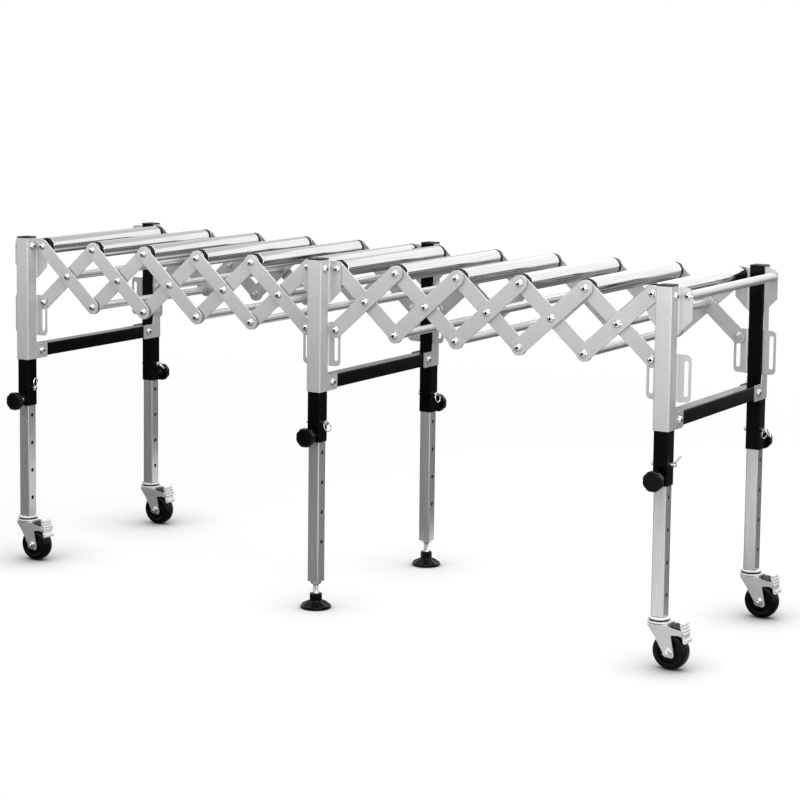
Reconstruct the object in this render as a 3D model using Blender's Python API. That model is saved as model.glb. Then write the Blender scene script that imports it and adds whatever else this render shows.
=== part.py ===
"""Scissor roller conveyor: two lattices of crossed arms carry rollers between three leg frames.

Metres, +Z up, +X along the conveyor, -Y its near side. The origin is on the floor, at the middle of
the overall length and width. The conveyor is drawn out to full length, and its casters trail to +X.
"""

import math

import bmesh
import bpy
from mathutils import Matrix, Vector

# Heights above the floor
ROLLER_LEVEL = 0.748  # roller axes
POST_TOP = 0.0195  # above the roller axes
BRACKET_BOTTOM = 0.268  # below the roller axes
SLEEVE_BOTTOM = 0.378  # below the roller axes

# Scissor arms: two flat links each, joined across the conveyor by an axle or a tie
LINK_HALF = 0.100  # end pivot to middle pivot
REST_ANGLE = math.radians(41.6)  # of an arm from level, drawn out
FOLDED_ANGLE = math.radians(77.8)  # of an arm from level, pushed together
LINK_WIDTH = 0.034
LINK_THICKNESS = 0.003
BOLT_DIAMETER = 0.008
BOLT_TAIL = 0.005  # bolt end beyond the link or ear that it passes
TIE_DIAMETER = 0.018
TIE_WALL = 0.0015
PLUG_LENGTH = 0.014
PLUG_THICKNESS = 0.006

# Falling arms run down and outwards on the inside, rising arms up and outwards on the outside.
# This is what sits on the top, middle and bottom pivot of each falling arm, outwards from the middle
# frame. Each rising arm carries a roller axle on its top pivot and bolts on the other two.
FALLING_ARMS = (
    ("axle", "tie", "tie"),
    ("hole", "hole", "tie"),
    ("hole", "tie", "hole"),
    ("hole", "hole", "tie"),
    ("hole", "tie", "bolt"),
)
RISING_ARM = ("axle", "bolt", "bolt")

# Rollers
ROLLER_DIAMETER = 0.038
ROLLER_LENGTH = 0.430
ROLLER_WALL = 0.0012
BEARING_WIDTH = 0.009
AXLE_DIAMETER = 0.010
ROLLER_END_GAP = 0.0015  # roller to inner link

# Posts: a square tube in a hat-shaped sheet bracket whose ears carry the arms
TUBE_SIZE = 0.032
TUBE_WALL = 0.0015
SHEET = 0.002
EAR_GAP = 0.0008  # ear to the links on either side of it
PIVOT_OFFSET = 0.0377  # post axis to the nearest pivot
EAR_EDGE = 0.0103  # pivot to the ear's outer edge
EAR_CORNER = 0.010
TOP_EAR_EDGE = 0.067  # height of the upper ear's outer edge
SLOT_EAR_MARGIN = 0.0115  # slot end to the lower ear's edge
SLOT_PLAY = 0.0005
CROSSBAR_HEIGHT = 0.030
CROSSBAR_WALL = 0.0015
CROSSBAR_RISE = 0.003  # bracket bottom to crossbar
GRIP_LENGTH = 0.035  # bracket flange along the crossbar
CAP_HEIGHT = 0.0035
CAP_LIP = 0.0006
HANDLE_DIAMETER = 0.019

# Legs that slide in the posts
LEG_SIZE = 0.028
LEG_WALL = 0.0015
LEG_ENGAGEMENT = 0.120  # inside the post, at rest
LOCK_DROP = 0.336  # lock pin below the roller axes
LOCK_PITCH = 0.066
LOCK_HOLES = 5
LOCK_PIN_DIAMETER = 0.008
LOCK_PIN_REACH = 0.010  # beyond the post
PLUG_RECESS = 0.004
LEG_PLUG = 0.012
STEM_DIAMETER = 0.012

# Clamp knobs
KNOB_DROP = 0.364  # below the roller axes
KNOB_DIAMETER = 0.043
KNOB_THICKNESS = 0.014
KNOB_COLLAR_DIAMETER = 0.018
KNOB_COLLAR = 0.008
KNOB_STANDOFF = 0.014
KNOB_SCREW_DIAMETER = 0.008

# Casters under the end frames
CASTER_HEIGHT = 0.105
CASTER_TRAIL = 0.027
WHEEL_DIAMETER = 0.075
WHEEL_WIDTH = 0.031
WHEEL_BORE_DIAMETER = 0.008
RACE_DIAMETER = 0.051
FORK_SHEET = 0.0025
FORK_GAP = 0.002  # wheel to fork
PEDAL_LENGTH = 0.040
PEDAL_WIDTH = 0.030
PEDAL_THICKNESS = 0.008
PEDAL_TILT = math.radians(78)
PEDAL_REACH = 0.060  # pedal's middle, from the swivel axis
PEDAL_DROP = 0.0265  # pedal's middle, below the leg

# Levelling feet under the middle frame
FOOT_HEIGHT = 0.060
FOOT_DIAMETER = 0.067
FOOT_RIM = 0.006
FOOT_DISH = 0.0145
FOOT_HUB_DIAMETER = 0.027
FOOT_HUB_TOP = 0.033

# Fits and facets
CLEARANCE = 0.0003
WELD = 0.0001  # how far joined pieces run into each other
BITE = 0.0005
PIN_SIDES = 6
ROD_SIDES = 8
ROLLER_SIDES = 12
WHEEL_SIDES = 16
KNOB_SIDES = 12
LINK_END_STEPS = 4
SLOT_END_STEPS = 4

# Places that follow from the sizes
CROSSINGS = len(FALLING_ARMS)
PITCH = 2 * LINK_HALF * math.cos(REST_ANGLE)
DEPTH = 2 * LINK_HALF * math.sin(REST_ANGLE)
FOLDED_DEPTH = 2 * LINK_HALF * math.sin(FOLDED_ANGLE)
LINK_REACH = 2 * LINK_HALF
FALLING_INNER = ROLLER_LENGTH / 2 + ROLLER_END_GAP
FALLING_OUTER = FALLING_INNER + LINK_THICKNESS
EAR_INNER = FALLING_OUTER + EAR_GAP
EAR_OUTER = EAR_INNER + SHEET
RISING_INNER = EAR_OUTER + EAR_GAP
TUBE_INNER = EAR_INNER + BITE
TUBE_OUTER = TUBE_INNER + TUBE_SIZE
POST_Y = TUBE_INNER + TUBE_SIZE / 2
LEG_OUTER = POST_Y + LEG_SIZE / 2
EAR_REACH = PIVOT_OFFSET + EAR_EDGE
FRAME_SPACING = 2 * PIVOT_OFFSET + CROSSINGS * PITCH
PEDAL_END = (PEDAL_LENGTH * math.cos(PEDAL_TILT) + PEDAL_THICKNESS * math.sin(PEDAL_TILT)) / 2
CASTER_REACH = max(PEDAL_REACH + PEDAL_END, CASTER_TRAIL + WHEEL_DIAMETER / 2)
MIDDLE_X = (EAR_REACH - max(EAR_REACH, CASTER_REACH)) / 2

SIDES = (("near", -1), ("far", 1))
SECTIONS = (("left", -1), ("right", 1))
TURN_UP = Matrix.Rotation(math.pi / 2, 4, "X")  # +Y to +Z
TURN_ALONG = Matrix.Rotation(-math.pi / 2, 4, "Z")  # +Y to +X


# Shapes


def arc(x, z, radius, start, end, steps):
    """Points along an arc, angles in degrees."""
    turns = [math.radians(start + (end - start) * step / steps) for step in range(steps + 1)]
    return [(x + radius * math.cos(turn), z + radius * math.sin(turn)) for turn in turns]


def circle(x, z, radius, sides=PIN_SIDES):
    return arc(x, z, radius, 0, 360, sides)[:-1]


def around(pin_diameter, sides=PIN_SIDES):
    """Corner radius of a faceted hole that a pin turns in freely."""
    return (pin_diameter / 2 + CLEARANCE) / math.cos(math.pi / sides)


def square(half):
    return [(-half, -half), (half, -half), (half, half), (-half, half)]


def slot(x, z_low, z_high, radius):
    """A slot between two bolt places, with round ends."""
    return arc(x, z_high, radius, 0, 180, SLOT_END_STEPS) + arc(x, z_low, radius, 180, 360, SLOT_END_STEPS)


def plate(outline, holes, y0, y1):
    """A flat piece: an outline with holes in the XZ plane, extruded from y0 to y1."""
    bm = bmesh.new()
    edges = []
    for loop in [outline, *holes]:
        verts = [bm.verts.new((x, y0, z)) for x, z in loop]
        edges += [bm.edges.new((verts[i - 1], vert)) for i, vert in enumerate(verts)]
    filled = bmesh.ops.triangle_fill(bm, edges=edges, use_beauty=True)
    faces = [item for item in filled["geom"] if isinstance(item, bmesh.types.BMFace)]
    grown = bmesh.ops.extrude_face_region(bm, geom=faces, use_keep_orig=True)
    lifted = [item for item in grown["geom"] if isinstance(item, bmesh.types.BMVert)]
    bmesh.ops.translate(bm, verts=lifted, vec=(0, y1 - y0, 0))
    bmesh.ops.recalc_face_normals(bm, faces=bm.faces)
    return bm


def turned(profile, sides, ring=False, phase=None):
    """A profile of (radius, y) points turned about Y; a ring's last point joins its first.

    Its facets start a quarter step round, clear of the points of what it is joined to.
    """
    bm = bmesh.new()
    start = math.pi / (2 * sides) if phase is None else phase
    cosine = math.cos(start)
    sine = math.sin(start)
    verts = [bm.verts.new((radius * cosine, along, radius * sine)) for radius, along in profile]
    ends = verts[1:] + verts[:1] if ring else verts[1:]
    edges = [bm.edges.new(pair) for pair in zip(verts, ends)]
    bmesh.ops.spin(
        bm,
        geom=verts + edges,
        cent=(0, 0, 0),
        axis=(0, 1, 0),
        angle=2 * math.pi,
        steps=sides,
        use_merge=True,
    )
    bmesh.ops.remove_doubles(bm, verts=bm.verts, dist=1e-6)
    bmesh.ops.recalc_face_normals(bm, faces=bm.faces)
    return bm


def block(low, high):
    bm = bmesh.new()
    size = Vector(high) - Vector(low)
    middle = (Vector(high) + Vector(low)) / 2
    bmesh.ops.create_cube(bm, size=1, matrix=Matrix.Translation(middle) @ Matrix.Diagonal((*size, 1)))
    return bm


def moved(bm, matrix):
    bmesh.ops.transform(bm, matrix=matrix, verts=bm.verts)
    if matrix.determinant() < 0:
        bmesh.ops.reverse_faces(bm, faces=bm.faces)
    return bm


def shifted(bm, x=0.0, y=0.0, z=0.0):
    return moved(bm, Matrix.Translation((x, y, z)))


def both_sides(make):
    """The far side's pieces and their mirror image on the near side."""
    return make() + [moved(bm, Matrix.Diagonal((1, -1, 1, 1))) for bm in make()]


# Objects


def material(name, colour, roughness, metallic):
    made = bpy.data.materials.new(name)
    made.use_nodes = True
    shader = made.node_tree.nodes["Principled BSDF"]
    shader.inputs["Base Color"].default_value = (*colour, 1)
    shader.inputs["Roughness"].default_value = roughness
    shader.inputs["Metallic"].default_value = metallic
    return made


def mesh_of(name, pieces):
    mesh = bpy.data.meshes.new(name)
    joined = bmesh.new()
    for piece in pieces:
        piece.to_mesh(mesh)
        joined.from_mesh(mesh)
        piece.free()
    joined.to_mesh(mesh)
    joined.free()
    return mesh


def boolean(target, pieces, operation):
    """Joins the pieces to an object, or cuts them from it, and keeps the result as its mesh."""
    tool = bpy.data.objects.new("tool", mesh_of("tool", pieces))
    bpy.context.scene.collection.objects.link(tool)
    modifier = target.modifiers.new(operation, "BOOLEAN")
    modifier.operation = operation
    modifier.solver = "EXACT"
    modifier.object = tool
    graph = bpy.context.evaluated_depsgraph_get()
    result = bpy.data.meshes.new_from_object(target.evaluated_get(graph))
    target.modifiers.remove(modifier)
    spent = [target.data, tool.data]
    target.data = result
    bpy.data.objects.remove(tool)
    for mesh in spent:
        bpy.data.meshes.remove(mesh)


def tidy(mesh):
    """Merges doubled points and the flat faces that Booleans split."""
    bm = bmesh.new()
    bm.from_mesh(mesh)
    bmesh.ops.remove_doubles(bm, verts=bm.verts, dist=2e-6)
    bmesh.ops.dissolve_limit(bm, angle_limit=math.radians(0.2), verts=bm.verts, edges=bm.edges)
    bm.to_mesh(mesh)
    bm.free()


def part(name, pieces, finish, *joined, origin=(0, 0, 0), cut=()):
    """One named object: its first pieces, what is welded on in turn, and what is cut away at the end."""
    made = bpy.data.objects.new(name, mesh_of(name, pieces))
    bpy.context.scene.collection.objects.link(made)
    for layer in joined:
        boolean(made, layer, "UNION")
    if cut:
        boolean(made, cut, "DIFFERENCE")
    tidy(made.data)
    made.data.name = name
    made.data.materials.clear()
    made.data.materials.append(finish)
    made.data.transform(Matrix.Translation(-Vector(origin)))
    made.data.shade_smooth()
    made.data.set_sharp_from_angle(angle=math.radians(35))
    made.location = origin
    return made


# Scissor arms


def both_ends(half):
    """A profile from its outer half: (radius, y) points running outwards, mirrored about y = 0."""
    return [(radius, -along) for radius, along in reversed(half)] + half


def rod(diameter, start, end, sides=PIN_SIDES):
    radius = diameter / 2
    return turned([(0, start), (radius, start), (radius, end), (0, end)], sides)


def axle(shoulder, end):
    """A roller axle with thinner ends that pass through the links."""
    thin = BOLT_DIAMETER / 2
    half = [(AXLE_DIAMETER / 2, shoulder), (thin, shoulder), (thin, end), (0, end)]
    return turned(both_ends(half), PIN_SIDES)


def hollow_bar(diameter, end):
    outer = diameter / 2
    bore = outer - TIE_WALL
    return turned([(outer, -end), (outer, end), (bore, end), (bore, -end)], ROD_SIDES, ring=True)


def link(inner, fittings, start):
    """A flat bar with round ends, its top pivot at x = start, drilled where another arm's bolt turns."""
    radius = LINK_WIDTH / 2
    pivots = [start, start + LINK_HALF, start + LINK_REACH]
    outline = arc(pivots[2], 0, radius, -90, 90, LINK_END_STEPS)
    outline += arc(pivots[0], 0, radius, 90, 270, LINK_END_STEPS)
    drilled = [x for x, fitting in zip(pivots, fittings) if fitting in ("hole", "tie")]
    holes = [circle(x, 0, around(BOLT_DIAMETER)) for x in drilled]
    return plate(outline, holes, inner, inner + LINK_THICKNESS)


def arm(name, fittings, falling, finish, pivot_u, location, turn):
    """A pair of links with the axle, ties and bolts that they carry, at its joint's axis."""
    links = both_sides(lambda: [link(FALLING_INNER if falling else RISING_INNER, fittings, -pivot_u)])
    if falling:
        shoulder = FALLING_INNER + BITE
        axle_end = EAR_OUTER + BOLT_TAIL
        bolt_span = (FALLING_OUTER - BITE, EAR_OUTER + BOLT_TAIL)
    else:
        shoulder = FALLING_INNER - CLEARANCE
        axle_end = RISING_INNER + BITE
        bolt_span = (FALLING_INNER - BOLT_TAIL, RISING_INNER + BITE)
    carried = []
    for index, fitting in enumerate(fittings):
        x = index * LINK_HALF - pivot_u
        if fitting == "axle":
            carried.append(shifted(axle(shoulder, axle_end), x=x))
        elif fitting == "tie":
            carried.append(shifted(hollow_bar(TIE_DIAMETER, FALLING_INNER + BITE), x=x))
        elif fitting == "bolt":
            carried += both_sides(lambda: [shifted(rod(BOLT_DIAMETER, *bolt_span), x=x)])
    made = part(name, links, finish, carried)
    made.location = location
    made.rotation_euler = (0, turn, 0)


def section(name, way, finish):
    """One lattice of arms, running out from the middle frame to -X or +X."""
    falling_turn = REST_ANGLE if way > 0 else math.pi - REST_ANGLE
    rising_turn = math.pi - falling_turn
    for index, fittings in enumerate(FALLING_ARMS):
        top = MIDDLE_X + way * (PIVOT_OFFSET + index * PITCH)
        middle = top + way * PITCH / 2
        falling = f"{name}_falling_arm_{index + 1}"
        rising = f"{name}_rising_arm_{index + 1}"
        arm(falling, fittings, True, finish, 0, (top, 0, ROLLER_LEVEL), falling_turn)
        at_middle = (middle, 0, ROLLER_LEVEL - DEPTH / 2)
        arm(rising, RISING_ARM, False, finish, LINK_HALF, at_middle, rising_turn)


def roller(name, x, finish):
    """A tube with closed ends, bored for its axle."""
    radius = ROLLER_DIAMETER / 2
    end = ROLLER_LENGTH / 2
    bore = around(AXLE_DIAMETER, ROLLER_SIDES)
    outside = both_ends([(radius, end), (bore, end)])
    inside = both_ends([(radius - ROLLER_WALL, end - BEARING_WIDTH), (bore, end - BEARING_WIDTH)])
    tube = turned(outside + inside[::-1], ROLLER_SIDES, ring=True)
    made = part(name, [tube], finish)
    made.location = (x, 0, ROLLER_LEVEL)


# Leg frames


def tube_ring(size, wall, z0, z1):
    """A square tube along Z."""
    return moved(plate(square(size / 2), [square(size / 2 - wall)], z0, z1), TURN_UP)


def channel():
    """The bracket's web and flanges, folded round three sides of the tube."""
    inside = TUBE_SIZE / 2 - WELD
    outside = inside + SHEET
    edge = EAR_INNER + SHEET / 2
    web_inner = TUBE_OUTER - WELD
    web_outer = web_inner + SHEET
    outline = [(outside, -web_outer), (outside, -edge), (inside, -edge), (inside, -web_inner)]
    outline += [(-x, y) for x, y in reversed(outline)]
    return shifted(moved(plate(outline, [], -BRACKET_BOTTOM, POST_TOP), TURN_UP), z=ROLLER_LEVEL)


def upper_ear():
    root = TUBE_SIZE / 2 + SHEET / 2
    low = POST_TOP - TOP_EAR_EDGE
    high = POST_TOP - WELD
    outline = [(root, high), (root, low - (EAR_REACH - root)), (EAR_REACH, low)]
    outline += arc(EAR_REACH - EAR_CORNER, high - EAR_CORNER, EAR_CORNER, 0, 90, 2)
    hole = circle(PIVOT_OFFSET, 0, around(BOLT_DIAMETER))
    return shifted(plate(outline, [hole], EAR_INNER, EAR_OUTER), z=ROLLER_LEVEL)


def slotted_ear():
    """The lower ear, whose slot the lowest arm's bolt runs down as the conveyor closes."""
    root = TUBE_SIZE / 2 + SHEET / 2
    half_slot = (BOLT_DIAMETER / 2 + SLOT_PLAY) / math.cos(math.pi / (2 * SLOT_END_STEPS))
    top = -DEPTH + half_slot + SLOT_EAR_MARGIN
    bottom = -FOLDED_DEPTH - half_slot - SLOT_EAR_MARGIN
    outline = arc(EAR_REACH - EAR_CORNER, bottom + EAR_CORNER, EAR_CORNER, 270, 360, 2)
    outline += arc(EAR_REACH - EAR_CORNER, top - EAR_CORNER, EAR_CORNER, 0, 90, 2)
    outline += [(root, top), (root, bottom)]
    hole = slot(PIVOT_OFFSET, -FOLDED_DEPTH, -DEPTH, half_slot)
    return shifted(plate(outline, [hole], EAR_INNER, EAR_OUTER), z=ROLLER_LEVEL)


def ears():
    flip = Matrix.Diagonal((-1, 1, 1, 1))
    outer = [upper_ear(), slotted_ear()]
    return outer + [moved(ear, flip) for ear in (upper_ear(), slotted_ear())]


def grips():
    """Flange ends that run along the crossbar on both of its sides."""
    low = ROLLER_LEVEL - BRACKET_BOTTOM + WELD
    high = ROLLER_LEVEL - BRACKET_BOTTOM + CROSSBAR_RISE + CROSSBAR_HEIGHT + SHEET
    inner = EAR_INNER - GRIP_LENGTH
    x0 = TUBE_SIZE / 2 - 2 * WELD
    x1 = TUBE_SIZE / 2 + SHEET - 3 * WELD
    right = block((x0, inner, low), (x1, EAR_OUTER, high))
    left = block((-x1, inner, low), (-x0, EAR_OUTER, high))
    return [right, left]


def crossbar():
    """An open-ended rectangular tube between the posts."""
    low = ROLLER_LEVEL - BRACKET_BOTTOM + CROSSBAR_RISE
    high = low + CROSSBAR_HEIGHT
    half = TUBE_SIZE / 2
    end = TUBE_INNER - CLEARANCE
    wall = CROSSBAR_WALL
    outline = [(-half, low), (half, low), (half, high), (-half, high)]
    hole = [
        (-half + wall, low + wall),
        (half - wall, low + wall),
        (half - wall, high - wall),
        (-half + wall, high - wall),
    ]
    return plate(outline, [hole], -end, end)


def cap_and_lock_pin():
    """The plug on the tube's top, and the lock pin's two ends, which stop short of the leg."""
    half = TUBE_SIZE / 2 + CAP_LIP
    top = ROLLER_LEVEL + POST_TOP
    cap = block((-half, POST_Y - half, top - SHEET), (half, POST_Y + half, top + CAP_HEIGHT))
    rim = [edge for edge in cap.edges if all(vert.co.z > top for vert in edge.verts)]
    bmesh.ops.bevel(
        cap, geom=rim, offset=CAP_HEIGHT / 2, segments=1, profile=0.5, affect="EDGES", material=-1
    )
    start = TUBE_SIZE / 2 - TUBE_WALL + WELD
    end = TUBE_SIZE / 2 + SHEET + LOCK_PIN_REACH
    right = moved(rod(LOCK_PIN_DIAMETER, start, end), TURN_ALONG)
    left = moved(rod(LOCK_PIN_DIAMETER, -end, -start), TURN_ALONG)
    return [cap, *(shifted(pin, y=POST_Y, z=ROLLER_LEVEL - LOCK_DROP) for pin in (right, left))]


def knob_hole():
    drill = rod(2 * around(KNOB_SCREW_DIAMETER), TUBE_OUTER - 2 * TUBE_WALL, TUBE_OUTER + SHEET)
    return [shifted(drill, z=ROLLER_LEVEL - KNOB_DROP)]


def leg_frame(name, x, pivot, finish):
    """Two posts and the crossbar between them; the object's origin is on the frame's pivot."""
    top = ROLLER_LEVEL + POST_TOP - WELD
    bottom = ROLLER_LEVEL - SLEEVE_BOTTOM

    def tube():
        return [shifted(tube_ring(TUBE_SIZE, TUBE_WALL, bottom, top), y=POST_Y)]

    made = part(
        name,
        both_sides(tube),
        finish,
        both_sides(lambda: [channel()]),
        both_sides(ears),
        both_sides(grips),
        [crossbar()],
        both_sides(cap_and_lock_pin),
        cut=both_sides(knob_hole),
    )
    made.data.transform(Matrix.Translation((x - pivot.x, 0, -pivot.z)))
    made.location = pivot


def handle_bar(name, x, finish):
    """A tube between the outer ears of an end frame, bolted through them."""
    end = EAR_INNER - CLEARANCE
    plug_outer = end - SHEET
    plug_inner = plug_outer - PLUG_LENGTH
    across = HANDLE_DIAMETER / 2 - 0.8 * TIE_WALL
    half = PLUG_THICKNESS / 2
    plugs = both_sides(lambda: [block((-across, plug_inner, -half), (across, plug_outer, half))])
    bolts = both_sides(lambda: [rod(BOLT_DIAMETER, plug_inner + BITE, EAR_OUTER + BOLT_TAIL)])
    made = part(name, [hollow_bar(HANDLE_DIAMETER, end)], finish, plugs, bolts)
    made.location = (x, 0, ROLLER_LEVEL)


def leg(name, x, y, bottom, finish):
    """A square tube with lock holes along X and a plug in its foot that takes a stem."""
    top = ROLLER_LEVEL - SLEEVE_BOTTOM + LEG_ENGAGEMENT
    corners = square((LEG_SIZE - LEG_WALL) / 2)
    plug_low = bottom + PLUG_RECESS
    plug = plate(corners, [circle(0, 0, around(STEM_DIAMETER))], plug_low, plug_low + LEG_PLUG)
    tube = tube_ring(LEG_SIZE, LEG_WALL, bottom, top)
    diameter = LOCK_PIN_DIAMETER + 2 * CLEARANCE
    holes = [ROLLER_LEVEL - LOCK_DROP - index * LOCK_PITCH for index in range(LOCK_HOLES)]
    drills = [shifted(moved(rod(diameter, -LEG_SIZE, LEG_SIZE), TURN_ALONG), z=z) for z in holes]
    made = part(name, [tube], finish, [moved(plug, TURN_UP)], cut=drills)
    made.location = (x, y, 0)


def knob(name, x, side, finish):
    """A round hand knob on a clamp screw that bears on the leg."""
    screw = KNOB_SCREW_DIAMETER / 2
    tip = LEG_OUTER + CLEARANCE
    collar = TUBE_OUTER + KNOB_STANDOFF
    disc = collar + KNOB_COLLAR
    face = disc + KNOB_THICKNESS
    radius = KNOB_DIAMETER / 2
    edge = KNOB_THICKNESS / 4
    neck = KNOB_COLLAR_DIAMETER / 2
    profile = [(0, tip), (screw, tip), (screw, collar), (neck, collar), (neck, disc), (radius, disc)]
    profile += [(radius, face - edge), (radius - edge, face), (0, face)]
    piece = moved(turned(profile, KNOB_SIDES), Matrix.Diagonal((1, side, 1, 1)))
    made = part(name, [piece], finish)
    made.location = (x, 0, ROLLER_LEVEL - KNOB_DROP)


# Casters and feet


def fork_side(trail, drop):
    """A fork cheek: wide at the race, narrow at the axle, with an arm out to the brake pedal."""
    boss = 0.45 * RACE_DIAMETER / 2
    brake = PEDAL_REACH - PEDAL_THICKNESS / 2
    top = -RACE_DIAMETER / 5
    waist = -(drop - WHEEL_DIAMETER / 2) - FORK_SHEET
    outline = [(-0.4 * RACE_DIAMETER, top), (-0.36 * RACE_DIAMETER, waist / 2)]
    outline += arc(trail, -drop, boss, 205, 350, 4)
    outline += [(trail + boss * 0.55, waist - FORK_SHEET), (brake, waist + FORK_SHEET), (brake, top)]
    inner = WHEEL_WIDTH / 2 + FORK_GAP
    return plate(outline, [], inner, inner + FORK_SHEET)


def caster_fork(name, x, y, finish):
    """Swivel stem and race, two cheeks, the wheel's axle and the brake pedal."""
    drop = CASTER_HEIGHT - WHEEL_DIAMETER / 2
    stem = STEM_DIAMETER / 2
    race = RACE_DIAMETER / 2
    high = -CLEARANCE
    low = -RACE_DIAMETER / 3
    profile = [(0, LEG_PLUG), (stem, LEG_PLUG), (stem, high), (race, high), (race, low), (0, low)]
    swivel = moved(turned(profile, ROLLER_SIDES), TURN_UP)
    cheek = WHEEL_WIDTH / 2 + FORK_GAP + FORK_SHEET
    crown_top = -RACE_DIAMETER / 5 - BITE
    brake = PEDAL_REACH - PEDAL_THICKNESS / 2 - BITE
    crown = block((0, -cheek + BITE, crown_top - FORK_SHEET), (brake, cheek - BITE, crown_top))
    pin_end = cheek + FORK_SHEET
    axle_pin = rod(WHEEL_BORE_DIAMETER, -pin_end, pin_end)
    half = Vector((PEDAL_LENGTH, PEDAL_WIDTH, PEDAL_THICKNESS)) / 2
    tilt = Matrix.Rotation(PEDAL_TILT, 4, "Y")
    pedal = moved(block(-half, half), Matrix.Translation((PEDAL_REACH, 0, -PEDAL_DROP)) @ tilt)
    made = part(
        name,
        [swivel],
        finish,
        both_sides(lambda: [fork_side(CASTER_TRAIL, drop)]),
        [crown],
        [shifted(axle_pin, x=CASTER_TRAIL, z=-drop)],
        [pedal],
    )
    made.location = (x, y, CASTER_HEIGHT)


def caster_wheel(name, x, y, finish):
    """A tyre with round shoulders on a dished hub, bored for its axle."""
    radius = WHEEL_DIAMETER / 2
    half = WHEEL_WIDTH / 2
    bore = around(WHEEL_BORE_DIAMETER, WHEEL_SIDES)
    shoulder = WHEEL_WIDTH / 5
    rim = 0.62 * radius
    dish = half - shoulder / 2
    outer = [(radius, half - shoulder), (radius - shoulder, half), (rim, half), (rim, dish), (bore, dish)]
    lowest = -math.pi / 2
    wheel = turned(both_ends(outer), WHEEL_SIDES, ring=True, phase=lowest)
    made = part(name, [wheel], finish)
    made.location = (x + CASTER_TRAIL, y, radius)


def foot(name, x, y, finish):
    """A threaded stem on a hub and a shallow dished base."""
    stem = STEM_DIAMETER / 2
    hub = FOOT_HUB_DIAMETER / 2
    base = FOOT_DIAMETER / 2
    top = FOOT_HEIGHT + PLUG_RECESS + LEG_PLUG
    profile = [(0, top), (stem, top), (stem, FOOT_HUB_TOP), (hub, FOOT_HUB_TOP), (hub, FOOT_DISH)]
    profile += [(base, FOOT_RIM), (base, 0), (0, 0)]
    made = part(name, [moved(turned(profile, ROLLER_SIDES), TURN_UP)], finish)
    made.location = (x, y, 0)


def main():
    for old in list(bpy.data.objects):
        bpy.data.objects.remove(old)
    silver = material("silver_coat", (0.72, 0.73, 0.74), 0.42, 0.35)
    zinc = material("zinc_plate", (0.75, 0.76, 0.77), 0.30, 0.9)
    steel = material("roller_steel", (0.82, 0.82, 0.83), 0.18, 1.0)
    black = material("black_plastic", (0.015, 0.015, 0.016), 0.45, 0.0)
    rubber = material("black_rubber", (0.012, 0.012, 0.013), 0.6, 0.0)

    for name, way in SECTIONS:
        section(name, way, silver)
        for index in range(CROSSINGS + 1):
            x = MIDDLE_X + way * (PIVOT_OFFSET + index * PITCH)
            roller(f"{name}_roller_{index + 1}", x, steel)

    for name, way in (("left", -1), ("middle", 0), ("right", 1)):
        x = MIDDLE_X + way * FRAME_SPACING
        pivot = Vector((x - way * PIVOT_OFFSET, 0, ROLLER_LEVEL if way else 0))
        leg_frame(f"{name}_leg_frame", x, pivot, silver)
        if way:
            handle_bar(f"{name}_handle_bar", x + way * PIVOT_OFFSET, zinc)
        for side_name, side in SIDES:
            label = f"{name}_{side_name}"
            y = side * POST_Y
            leg(f"{label}_leg", x, y, CASTER_HEIGHT if way else FOOT_HEIGHT, zinc)
            knob(f"{label}_knob", x, side, black)
            if way:
                caster_fork(f"{label}_caster_fork", x, y, zinc)
                caster_wheel(f"{label}_caster_wheel", x, y, rubber)
            else:
                foot(f"{label}_foot", x, y, black)


main()
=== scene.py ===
# %% [markdown]
# # A roller conveyor on scissor arms
#
# Three leg frames carry two lattices of crossed arms, and the arms carry twelve free rollers. When a lattice
# folds, its end frame comes in towards the middle frame.
#
# The frame that is loaded first already holds every body and joint. This lesson makes the pieces that are
# seen, and hangs each one on the body that it moves with.

# %% Load the frame
import math

import bmesh
import bpy
from mathutils import Matrix, Vector


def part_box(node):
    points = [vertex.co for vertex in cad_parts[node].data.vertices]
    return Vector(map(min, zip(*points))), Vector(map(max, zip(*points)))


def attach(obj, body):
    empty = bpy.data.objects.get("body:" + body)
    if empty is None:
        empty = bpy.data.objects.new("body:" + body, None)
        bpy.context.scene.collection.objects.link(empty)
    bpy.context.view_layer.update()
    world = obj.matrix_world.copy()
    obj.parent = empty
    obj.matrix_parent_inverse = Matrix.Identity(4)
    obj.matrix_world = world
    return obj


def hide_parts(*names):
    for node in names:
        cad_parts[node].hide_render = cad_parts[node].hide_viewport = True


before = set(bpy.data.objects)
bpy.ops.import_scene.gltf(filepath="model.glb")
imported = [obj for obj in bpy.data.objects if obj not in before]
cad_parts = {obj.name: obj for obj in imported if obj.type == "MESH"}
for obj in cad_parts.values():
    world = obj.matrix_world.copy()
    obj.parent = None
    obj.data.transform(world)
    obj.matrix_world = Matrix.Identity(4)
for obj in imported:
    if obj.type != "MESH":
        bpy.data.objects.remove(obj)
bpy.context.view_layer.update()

# %% [markdown]
# ## The camera
#
# A product photograph is taken from far away with a long lens, so that parallel edges stay nearly parallel.
# The place and lens below were fitted to the pivots, posts and feet of the photograph. The camera looks down
# by only six degrees and its lens is shifted down, as view cameras do, so that the posts stay upright.

# %% Camera
CAMERA_PLACE = (2.6103, -4.1955, 1.2516)
CAMERA_YAW = 31.375
CAMERA_DOWN = 6
CAMERA_ROLL = 0.682


def at(x=0.0, y=0.0, z=0.0):
    """A move to a place."""
    return Matrix.Translation((x, y, z))


def turned(degrees, axis):
    """A turn about an axis through the origin."""
    return Matrix.Rotation(math.radians(degrees), 4, axis)


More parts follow.
